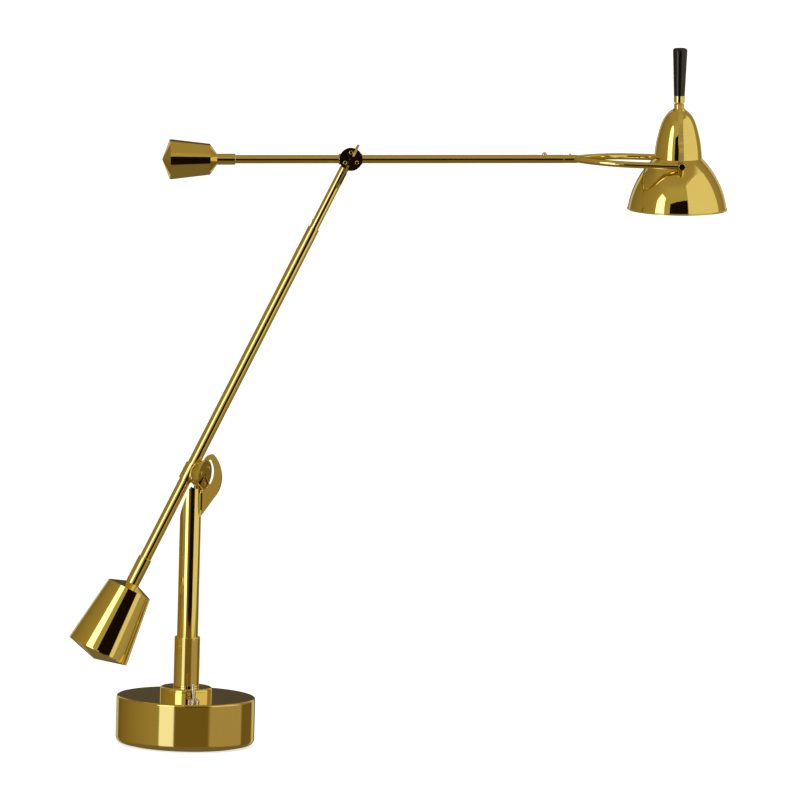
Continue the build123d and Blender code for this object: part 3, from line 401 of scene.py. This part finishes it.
# The nut: a ring with 36 grooves pressed in round its edge, a little over 1 mm apart.
nut_grooves = 36
groove_depth = 0.00035
nut_fit = 0.00005
nut_x, nut_y, nut_foot, nut_top, nut_r = round_place("switch_nut")
nut_bore = round_place("switch_bushing")[4] + nut_fit
ring_nut = turned_piece(
    "switch_ring_nut", (nut_x, nut_y),
    ((nut_bore, nut_foot), (nut_r - 0.0004, nut_foot), (nut_r, nut_foot + 0.0004),
     (nut_r, nut_top - 0.0006), (nut_r - 0.0006, nut_top), (nut_r - 0.0016, nut_top),
     (nut_r - 0.0020, nut_top - 0.0003), (nut_bore + 0.0003, nut_top - 0.0003),
     (nut_bore, nut_top - 0.0006), (nut_bore, nut_foot)),
    nut_grooves * 4, "base", bright_nickel)
for vertex in ring_nut.data.vertices:
    out_from = Vector((vertex.co.x - nut_x, vertex.co.y - nut_y))
    on_the_edge = out_from.length > nut_r - 0.0001
    if on_the_edge and vertex.index % 4 in (0, 1):
        out_from *= (nut_r - groove_depth) / out_from.length
        vertex.co.x = nut_x + out_from.x
        vertex.co.y = nut_y + out_from.y
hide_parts("switch_nut")

# The lever: a plain round bat with a domed end, leaning back and to the left on its pin.
toggle_joint = frame["record"]["behaviour"]["joints"][0]
pivot = Vector(toggle_joint["pos_m"])
lever_lean = Matrix.Rotation(radians(-12.0), 4, Vector(toggle_joint["axis"]))
lever_top = 0.0215
bat_line = ((0.0002, -0.0019), (0.0011, -0.0016), (0.0019, -0.0004), (0.0019, 0.0004), (0.0013, 0.0016),
            (0.0012, 0.0030), (0.0015, 0.0052), (0.00165, 0.0120), (0.0018, lever_top - 0.0016),
            (0.0016, lever_top - 0.0007), (0.0010, lever_top - 0.0001), (0.0002, lever_top))
bat = turned_piece("switch_bat", (pivot.x, pivot.y), [(r, z + pivot.z) for r, z in bat_line], 32, "toggle",
                   bright_nickel)
bat.data.transform(Matrix.Translation(pivot) @ lever_lean @ Matrix.Translation(-pivot))
bat.data.shade_smooth()
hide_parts("switch_lever")

# Phenolic, moulded and polished: black with a deep gloss and a faint brown mottle.
phenolic, tree, where = finish("polished_black_phenolic")
mottle = add(tree, "ShaderNodeTexNoise", Vector=where, Scale=350.0, Detail=5.0).outputs["Fac"]
tint = add(tree, "ShaderNodeMix", {"data_type": "RGBA"}, in_0=mottle, in_6=colour("#090808"),
           in_7=colour("#17120F")).outputs[2]
haze = add(tree, "ShaderNodeMapRange", Value=mottle, To_Min=0.10, To_Max=0.2).outputs[0]
surface(tree, Base_Color=tint, Roughness=haze, IOR=1.55)
wear(("switch_body",), phenolic)

# ------------------------------------------------------------ stem and its joint
# A drawn brass tube in a wider sleeve, cut slantwise at the top to clear the lower arm,
# with a turned ball head whose cap is held by three small screws.
wear(("stem_sleeve", "stem_tube", "stem_head", "stem_head_cap", "stem_cap_screws"), buffed_brass)

# ------------------------------------------------------------ crescent springs
# Sawn from brass plate and polished. Each rides round its head and presses a finger on
# the pivot.
wear(("stem_crescent", "elbow_crescent"), buffed_brass)

# ------------------------------------------------------------ lower arm
# A brass tube in a saddle on the pivoting hub, with its weight on a sleeve at the foot.
wear(("lower_hub", "lower_arm_tube", "lower_lock_screw"), buffed_brass)
wear(("lower_pivot", "elbow_pivot"), zinc_steel)

# Nylon washers, moulded: milky and slightly waxy.
nylon, tree, where = finish("moulded_nylon")
cloud = add(tree, "ShaderNodeTexNoise", Vector=where, Scale=250.0, Detail=3.0).outputs["Fac"]
tint = add(tree, "ShaderNodeMix", {"data_type": "RGBA"}, in_0=cloud, in_6=colour("#E9E6DC"),
           in_7=colour("#DAD6C8")).outputs[2]
surface(tree, Base_Color=tint, Roughness=0.45, IOR=1.53)
wear(("lower_friction_washer", "elbow_friction_washer"), nylon)

# ------------------------------------------------------------ weights
# Turned from solid brass bar, tapered, and closed by a shallow cone at the outer end.
wear(("lower_weight_sleeve", "lower_weight", "lower_weight_end"), buffed_brass)
wear(("upper_weight_sleeve", "upper_weight", "upper_weight_end"), buffed_brass)

# ------------------------------------------------------------ elbow and upper arm
# A short brass stub turns in the lower arm's end and carries the elbow's turned head. The
# upper arm is one thinner brass tube, from inside the small weight to the fork's socket.
wear(("elbow_stub", "stub_screw", "elbow_head", "elbow_head_cap", "elbow_cap_screws"), buffed_brass)
wear(("elbow_hub", "upper_arm_tube", "fork_stop_pin"), buffed_brass)

# ------------------------------------------------------------ fork
# Two bent brass rods that end in flat eyes, pinned in a turned socket that swivels in the
# upper arm's tube. A screw goes through each eye into the shade.
wear(("fork_socket", "fork_socket_pin", "fork_hoop", "trunnion_screws"), buffed_brass)

# ------------------------------------------------------------ shade
# A bell and a dome of thin brass, hung from the fork's two screws. A bent strap and one
# threaded rod tie them to the turned brass neck and to the black handle above.
wear(("ferrule_spacer", "shade_ferrule", "shade_trunnions", "rod_nut"), buffed_brass)

# The yoke is bent from flat strip and only satined along its length, so it blurs the room.
satin_brass, tree, where = finish("satined_brass_strip")
along = add(tree, "ShaderNodeMapping", Vector=where, Scale=(6.0, 6.0, 0.4)).outputs[0]
lines = add(tree, "ShaderNodeTexNoise", Vector=along, Scale=400.0, Detail=4.0).outputs["Fac"]
tint = add(tree, "ShaderNodeMix", {"data_type": "RGBA"}, in_0=lines, in_6=colour(brass_light),
           in_7=colour(brass_deep)).outputs[2]
haze = add(tree, "ShaderNodeMapRange", Value=lines, To_Min=0.42, To_Max=0.55).outputs[0]
relief = add(tree, "ShaderNodeBump", Strength=0.08, Distance=0.0002, Height=lines).outputs[0]
surface(tree, Base_Color=tint, Metallic=1.0, Roughness=haze, Normal=relief)
wear(("shade_yoke",), satin_brass)

# The bell and dome are spun from thin brass sheet. Outside they are buffed and lacquered,
# and inside they are sprayed with white enamel, which throws the light down.
spun_brass, tree, where = finish("spun_brass_enamelled_inside")
axis_x, axis_y = round_place("shade_dome")[:2]
patches = add(tree, "ShaderNodeTexNoise", Vector=where, Scale=90.0, Detail=3.0).outputs["Fac"]
tint = add(tree, "ShaderNodeMix", {"data_type": "RGBA"}, in_0=patches, in_6=colour(brass_light),
           in_7=colour(brass_deep)).outputs[2]
haze = add(tree, "ShaderNodeMapRange", Value=patches, To_Min=0.015, To_Max=0.04).outputs[0]
brass_skin = add(tree, "ShaderNodeBsdfPrincipled", Base_Color=tint, Metallic=1.0, Roughness=haze).outputs[0]
peel = add(tree, "ShaderNodeTexNoise", Vector=where, Scale=800.0, Detail=2.0).outputs["Fac"]
relief = add(tree, "ShaderNodeBump", Strength=0.12, Distance=0.0002, Height=peel).outputs[0]
milk = add(tree, "ShaderNodeMix", {"data_type": "RGBA"}, in_0=patches, in_6=colour("#F1EEE6"),
           in_7=colour("#E6E2D8")).outputs[2]
enamel = add(tree, "ShaderNodeBsdfPrincipled", Base_Color=milk, Roughness=0.3, Normal=relief).outputs[0]
# The inside is wherever the sheet faces the shade's upright axis by more than this.
inward_limit = -0.002
from_axis = add(tree, "ShaderNodeVectorMath", {"operation": "SUBTRACT"}, in_0=where,
                in_1=(axis_x, axis_y, 0.0)).outputs[0]
from_axis = add(tree, "ShaderNodeVectorMath", {"operation": "MULTIPLY"}, in_0=from_axis,
                in_1=(1.0, 1.0, 0.0)).outputs[0]
facing = add(tree, "ShaderNodeTexCoord").outputs["Normal"]
outward = add(tree, "ShaderNodeVectorMath", {"operation": "DOT_PRODUCT"}, in_0=facing,
              in_1=from_axis).outputs["Value"]
inner = add(tree, "ShaderNodeMath", {"operation": "LESS_THAN"}, in_0=outward,
            in_1=inward_limit).outputs[0]
skin = add(tree, "ShaderNodeMixShader", in_0=inner, in_1=brass_skin, in_2=enamel).outputs[0]
add(tree, "ShaderNodeOutputMaterial", Surface=skin)
wear(("shade_bell", "shade_dome"), spun_brass)
wear(("handle_rod",), zinc_steel)
wear(("shade_handle", "lampholder"), phenolic)

# ------------------------------------------------------------ bulb
# A small round lamp: a blown opal globe drawn to a neck, crimped into a nickel screw cap
# that goes up into the holder. The glass is milky, with a soft gloss.
opal_glass, tree, where = finish("opal_glass")
film = add(tree, "ShaderNodeTexNoise", Vector=where, Scale=120.0, Detail=2.0).outputs["Fac"]
tint = add(tree, "ShaderNodeMix", {"data_type": "RGBA"}, in_0=film, in_6=colour("#F6F3EA"),
           in_7=colour("#EDE9DD")).outputs[2]
surface(tree, Base_Color=tint, Roughness=0.18, IOR=1.5, Subsurface_Weight=0.3, Subsurface_Scale=0.004)

bulb_x, bulb_y, bulb_low, bulb_high, globe_r = round_place("bulb")
neck_r = 0.0068
neck_len = 0.0055
cap_r = 0.0067
thread_pitch = 0.0018
thread_depth = 0.0005
globe_line = [(globe_r * sin(radians(a)), bulb_low + globe_r - globe_r * cos(radians(a)))
              for a in (3, 8, 14, 21, 28, 36, 44, 52, 60, 68, 76, 84, 90, 96, 104, 112, 120, 127)]
neck_top = bulb_low + globe_r * 2 + neck_len
globe_line += [(globe_r * 0.70, bulb_low + globe_r * 1.68), (globe_r * 0.58, bulb_low + globe_r * 1.84),
               (globe_r * 0.46, bulb_low + globe_r * 2.02), (neck_r + 0.0006, neck_top - 0.0012),
               (neck_r, neck_top)]
globe_line.insert(0, (0.0002, bulb_low))
globe = turned_piece("bulb_globe", (bulb_x, bulb_y), globe_line, 64, "shade", opal_glass)
cap_line = [(neck_r + 0.0001, neck_top - 0.0004), (cap_r + 0.0002, neck_top + 0.0004)]
height = neck_top + 0.0016
while height < bulb_high - 0.004:
    cap_line += [(cap_r - thread_depth, height), (cap_r, height + thread_pitch / 2)]
    height += thread_pitch
cap_line += [(cap_r - 0.0006, bulb_high - 0.0028), (cap_r - 0.0030, bulb_high - 0.0012),
             (0.0022, bulb_high - 0.0008), (0.0018, bulb_high - 0.0001), (0.0002, bulb_high)]
cap = turned_piece("bulb_cap", (bulb_x, bulb_y), cap_line, 64, "shade", bright_nickel)
for piece in (globe, cap):
    bpy.ops.object.select_all(action="DESELECT")
    piece.select_set(True)
    bpy.context.view_layer.objects.active = piece
    bpy.ops.object.shade_smooth_by_angle(angle=radians(40))
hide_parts("bulb")
